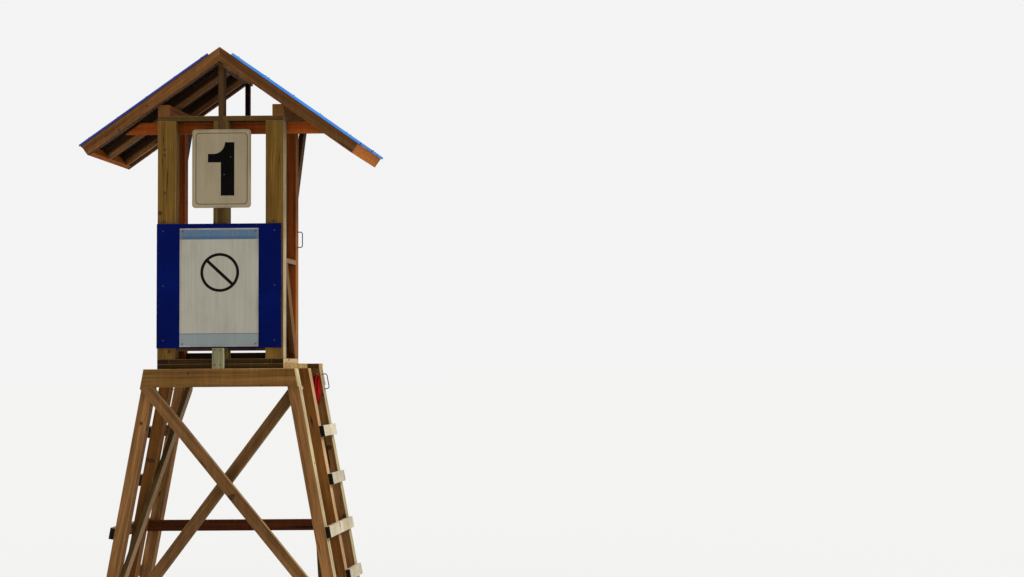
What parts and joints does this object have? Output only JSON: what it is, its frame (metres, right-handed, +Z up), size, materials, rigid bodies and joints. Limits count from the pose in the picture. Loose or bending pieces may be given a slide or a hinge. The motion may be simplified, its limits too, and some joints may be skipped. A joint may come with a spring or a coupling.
{
  "type": "lifeguard tower",
  "caption": "Timber lifeguard tower: leaning legs with rungs, a deck, and a small open cab with a seat, a dark rear panel and a gabled roof of ribbed blue sheets.",
  "frame": {"origin": "on the ground, at the middle of the tower's bounding box", "axes": "+Z up, +Y towards the open front, +X to the right as seen from the rear"},
  "size_m": [2.1896, 0.9908, 4.5698],
  "materials": {
    "timber": "weathered, unpainted",
    "timber_dark": "weathered, dark",
    "timber_rafter": "weathered, unpainted",
    "timber_red": "red-brown, unpainted",
    "timber_grey": "weathered grey",
    "timber_deck": "worn golden",
    "roof_paint": "blue, satin",
    "panel_paint": "painted dark blue",
    "notice_face": "matt white",
    "plate_face": "matt tan",
    "steel": "dull",
    "cloth": "matt red"
  },
  "bodies": {
    "root": {"legs_rear": "timber", "legs_mid": "timber", "legs_front": "timber", "rear_beam": "timber", "rear_brace_outer": "timber", "rear_brace_inner": "timber", "side_braces": "timber", "posts_rear": "timber", "king_stud": "timber", "centre_studs": "timber", "rear_top_plate": "timber", "side_plates": "timber", "front_beam": "timber_dark", "deck_joists": "timber_dark", "front_brace": "timber_dark", "sole_plate_rear": "timber_dark", "toe_rail": "timber_dark", "posts_front": "timber_dark", "front_tie": "timber_dark", "front_king_post": "timber_dark", "knee_braces": "timber_dark", "seat_rails": "timber_dark", "seat_boards": "timber_dark", "panel_rails": "timber_dark", "ridge_board": "timber_dark", "common_rafters": "timber_dark", "fascias": "timber_dark", "pennant_peg": "timber_dark", "rear_rafter_left": "timber_rafter", "rear_rafter_right": "timber_rafter", "front_rafter_left": "timber_rafter", "front_rafter_right": "timber_rafter", "tie_beam": "timber_red", "cab_braces": "timber_red", "rungs": "timber_grey", "armrests": "timber_grey", "panel_stub": "timber_grey", "deck_boards": "timber_deck", "step_board": "timber_deck", "sole_plates_side": "timber_deck", "roof_sheet_left": "roof_paint", "roof_sheet_right": "roof_paint", "back_panel": "panel_paint", "notice_board": "notice_face", "number_plate": "plate_face", "grab_handles": "steel", "pennant": "cloth"}
  },
  "joints": []
}
